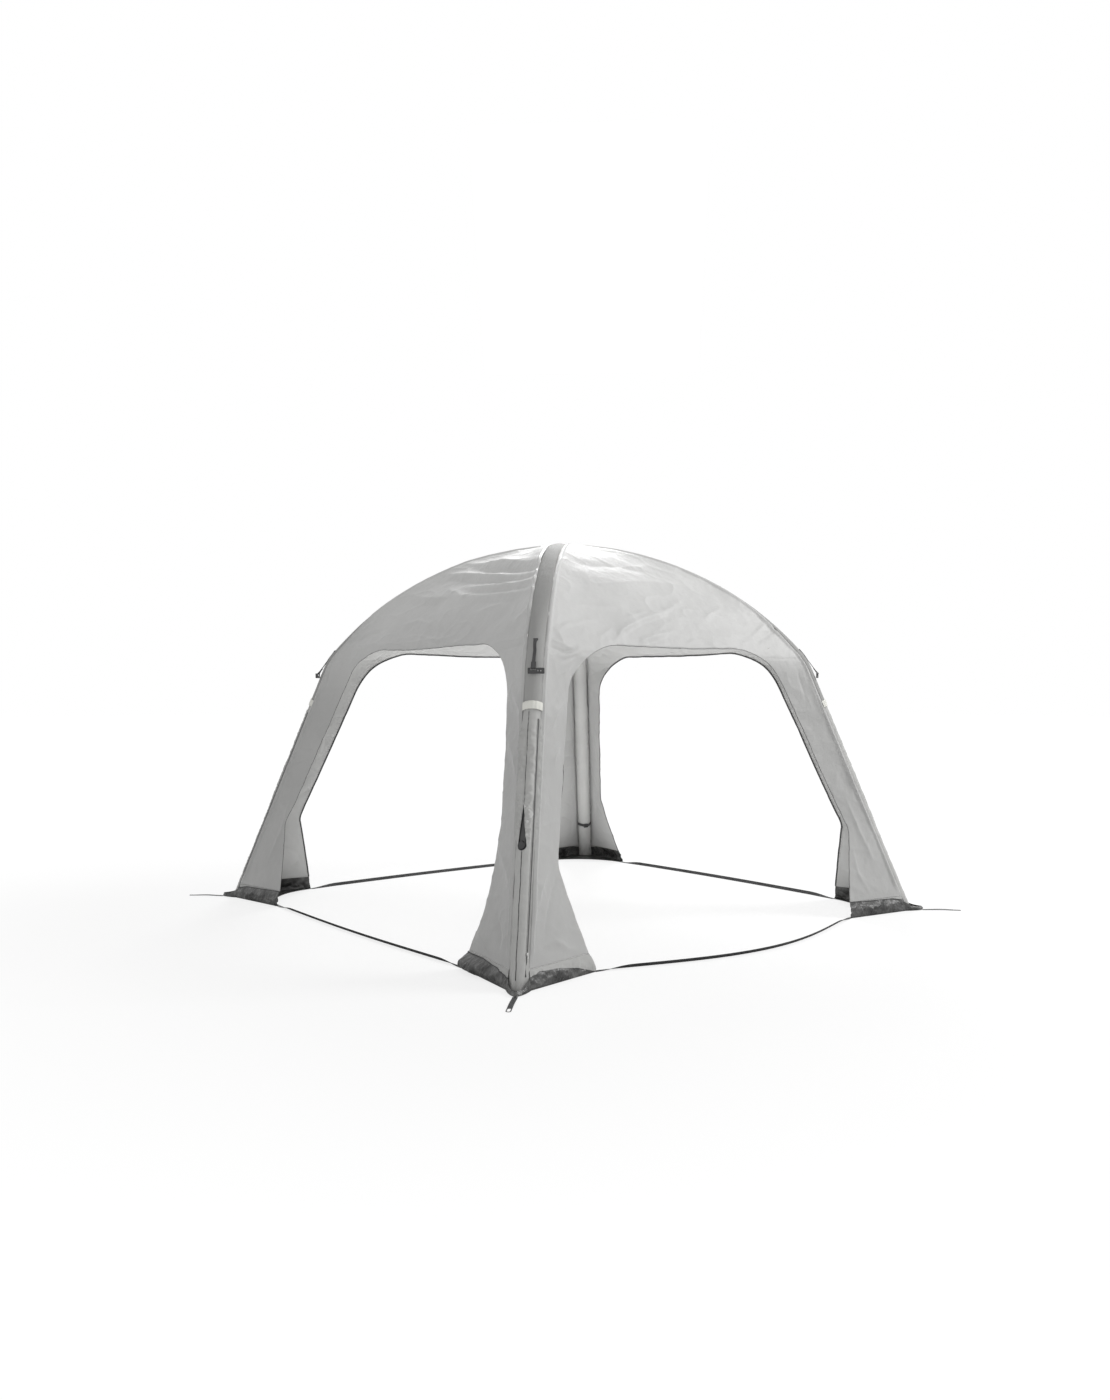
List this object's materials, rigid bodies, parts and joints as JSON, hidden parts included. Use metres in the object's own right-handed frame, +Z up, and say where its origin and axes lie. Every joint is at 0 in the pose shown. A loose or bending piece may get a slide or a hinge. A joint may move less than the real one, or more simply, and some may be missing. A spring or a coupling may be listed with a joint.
{
  "type": "inflatable gazebo",
  "caption": "Open-sided garden shelter with a crossed air-beam frame, a square domed fabric roof and flared fabric legs, inflated through a valve in a leg sleeve.",
  "frame": {"origin": "on the ground under the crown, at the middle of the four feet", "axes": "+Z up; -Y towards the front doorway; +X to the right of someone who faces the front from outside"},
  "size_m": [3.65, 3.65, 2.3],
  "materials": {
    "bladder": "translucent grey thermoplastic film",
    "sleeve": "mid grey coated polyester",
    "canopy": "light grey coated polyester, plain weave",
    "mud_flap": "creased dark PVC sheet",
    "webbing": "black woven webbing",
    "white_band": "off-white band",
    "zip_tape": "dark zip tape and coil",
    "metal": "plated zip slider",
    "plastic": "black moulded plastic",
    "valve": "black moulded plastic",
    "plunger": "white moulded plastic"
  },
  "bodies": {
    "gazebo": {"crown_joint": "bladder", "air_beam_front_left": "bladder", "beam_sleeve_front_left": "sleeve", "leg_panel_front_left_front": "canopy", "leg_panel_front_left_left": "canopy", "mud_flap_front_left": "mud_flap", "foot_base_front_left": "mud_flap", "peg_loop_front_left": "webbing", "guy_tab_front_left": "webbing", "sleeve_band_front_left": "white_band", "sleeve_zip_front_left": "zip_tape", "air_beam_front_right": "bladder", "beam_sleeve_front_right": "sleeve", "leg_panel_front_right_right": "canopy", "leg_panel_front_right_front": "canopy", "mud_flap_front_right": "mud_flap", "foot_base_front_right": "mud_flap", "peg_loop_front_right": "webbing", "guy_tab_front_right": "webbing", "sleeve_band_front_right": "white_band", "sleeve_zip_front_right": "zip_tape", "air_beam_back_right": "bladder", "beam_sleeve_back_right": "sleeve", "leg_panel_back_right_back": "canopy", "leg_panel_back_right_right": "canopy", "mud_flap_back_right": "mud_flap", "foot_base_back_right": "mud_flap", "peg_loop_back_right": "webbing", "guy_tab_back_right": "webbing", "sleeve_band_back_right": "white_band", "sleeve_zip_back_right": "zip_tape", "air_beam_back_left": "bladder", "beam_sleeve_back_left": "sleeve", "leg_panel_back_left_left": "canopy", "leg_panel_back_left_back": "canopy", "mud_flap_back_left": "mud_flap", "foot_base_back_left": "mud_flap", "peg_loop_back_left": "webbing", "guy_tab_back_left": "webbing", "sleeve_band_back_left": "white_band", "sleeve_zip_back_left": "zip_tape", "roof_panel_front": "canopy", "ground_strap_front": "webbing", "roof_panel_right": "canopy", "ground_strap_right": "webbing", "roof_panel_back": "canopy", "ground_strap_back": "webbing", "roof_panel_left": "canopy", "ground_strap_left": "webbing", "valve_body": "valve"},
    "slider_front_left": {"zip_slider_front_left": "metal"},
    "runner_front_left": {"line_runner_front_left": "plastic"},
    "slider_front_right": {"zip_slider_front_right": "metal"},
    "runner_front_right": {"line_runner_front_right": "plastic"},
    "slider_back_right": {"zip_slider_back_right": "metal"},
    "runner_back_right": {"line_runner_back_right": "plastic"},
    "slider_back_left": {"zip_slider_back_left": "metal"},
    "runner_back_left": {"line_runner_back_left": "plastic"},
    "cap": {"valve_cap": "valve"},
    "plunger": {"valve_plunger": "plunger"}
  },
  "joints": [
    {"name": "zip_travel_front_left", "type": "slide", "parent": "gazebo", "child": "slider_front_left", "axis": [0.2881, 0.2881, 0.9133], "range_m": [0, 1.185]},
    {"name": "runner_swing_front_left", "type": "hinge", "parent": "gazebo", "child": "runner_front_left", "pos_m": [-1.14371, -1.14371, 1.50312], "axis": [-0.7071, 0.7071, 0], "range_deg": [-8, 100]},
    {"name": "zip_travel_front_right", "type": "slide", "parent": "gazebo", "child": "slider_front_right", "axis": [-0.2881, 0.2881, 0.9133], "range_m": [0, 1.185]},
    {"name": "runner_swing_front_right", "type": "hinge", "parent": "gazebo", "child": "runner_front_right", "pos_m": [1.14371, -1.14371, 1.50312], "axis": [-0.7071, -0.7071, 0], "range_deg": [-8, 100]},
    {"name": "zip_travel_back_right", "type": "slide", "parent": "gazebo", "child": "slider_back_right", "axis": [-0.2881, -0.2881, 0.9133], "range_m": [0, 1.185]},
    {"name": "runner_swing_back_right", "type": "hinge", "parent": "gazebo", "child": "runner_back_right", "pos_m": [1.14371, 1.14371, 1.50312], "axis": [0.7071, -0.7071, 0], "range_deg": [-8, 100]},
    {"name": "zip_travel_back_left", "type": "slide", "parent": "gazebo", "child": "slider_back_left", "axis": [0.2881, -0.2881, 0.9133], "range_m": [0, 1.185]},
    {"name": "runner_swing_back_left", "type": "hinge", "parent": "gazebo", "child": "runner_back_left", "pos_m": [-1.14371, 1.14371, 1.50312], "axis": [0.7071, 0.7071, 0], "range_deg": [-8, 100]},
    {"name": "valve_cap_hinge", "type": "hinge", "parent": "gazebo", "child": "cap", "pos_m": [-1.40235, -1.38072, 0.67353], "axis": [0.5159, -0.8502, 0.1054], "range_deg": [-150, 0]},
    {"name": "valve_plunger_press", "type": "slide", "parent": "gazebo", "child": "plunger", "axis": [0.8068, 0.4408, -0.3935], "range_m": [0, 0.006], "stiffness_N_per_m": 300, "springref_m": -0.004}
  ]
}
